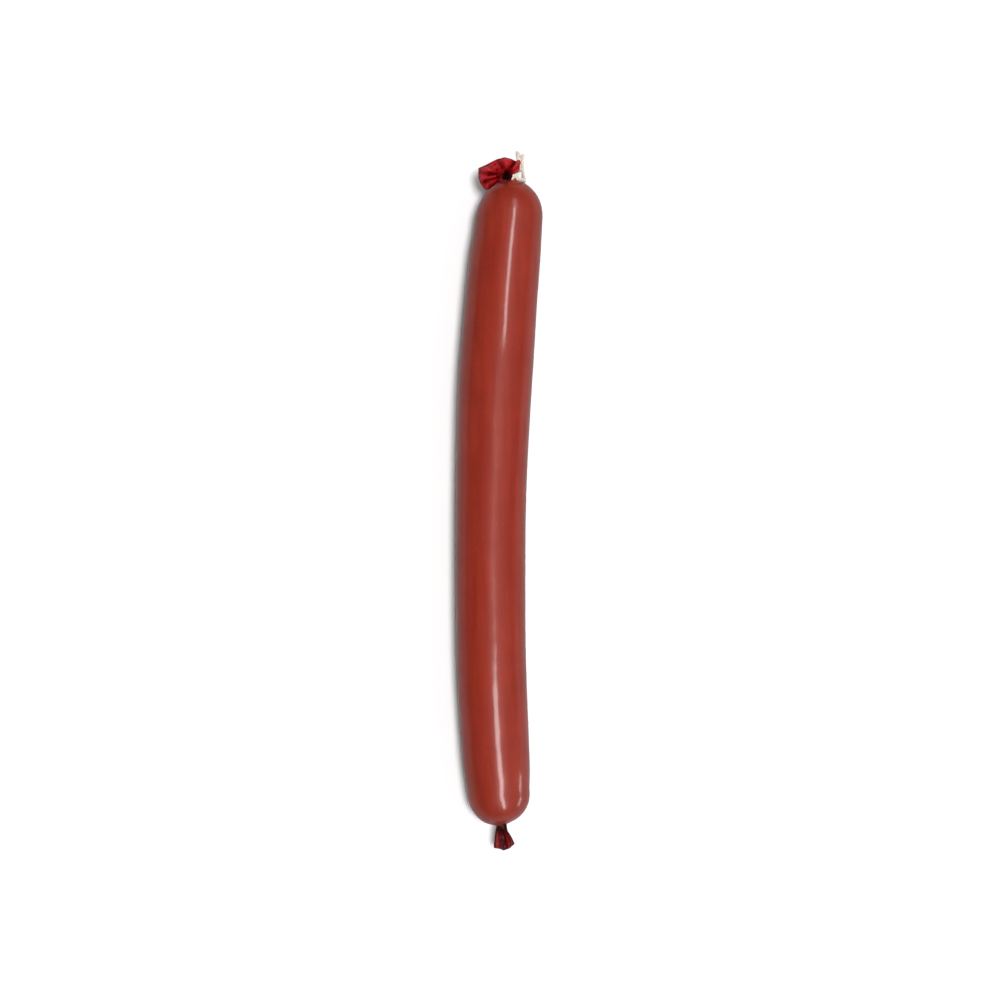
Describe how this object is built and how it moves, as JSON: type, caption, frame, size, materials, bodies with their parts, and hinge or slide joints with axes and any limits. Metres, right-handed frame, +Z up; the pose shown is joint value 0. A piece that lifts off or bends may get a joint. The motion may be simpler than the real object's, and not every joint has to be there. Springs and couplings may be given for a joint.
{
  "type": "cured sausage",
  "caption": "Long slim cured sausage in a smooth red-brown casing, lying down, tied at one end with twine under a ruffled casing end and bound at the other with a short tuft.",
  "frame": {"origin": "on the surface that the sausage rests on, under the middle of the sausage as measured without its loose string", "axes": "+Y along the sausage towards its string-tied end, +Z up from the surface, +X to the side on which the string's ends hang"},
  "size_m": [0.0497, 0.4007, 0.0414],
  "materials": {
    "filled_casing": "tight collagen casing, red-brown, satin gloss with a faint mottle of the meat beneath",
    "empty_casing": "thin dried casing film, deep red, glossy and slightly see-through, crumpled",
    "twine": "natural cotton butcher's twine, twisted plies, matt",
    "stained_thread": "fine thread stained dark by the casing, matt"
  },
  "bodies": {
    "root": {"filled_casing": "filled_casing", "upper_casing_frill": "empty_casing", "lower_casing_tuft": "empty_casing", "neck_string_hitch": "twine", "neck_string_over_end": "twine", "neck_string_under_end": "twine", "lower_neck_thread": "stained_thread"}
  },
  "joints": []
}
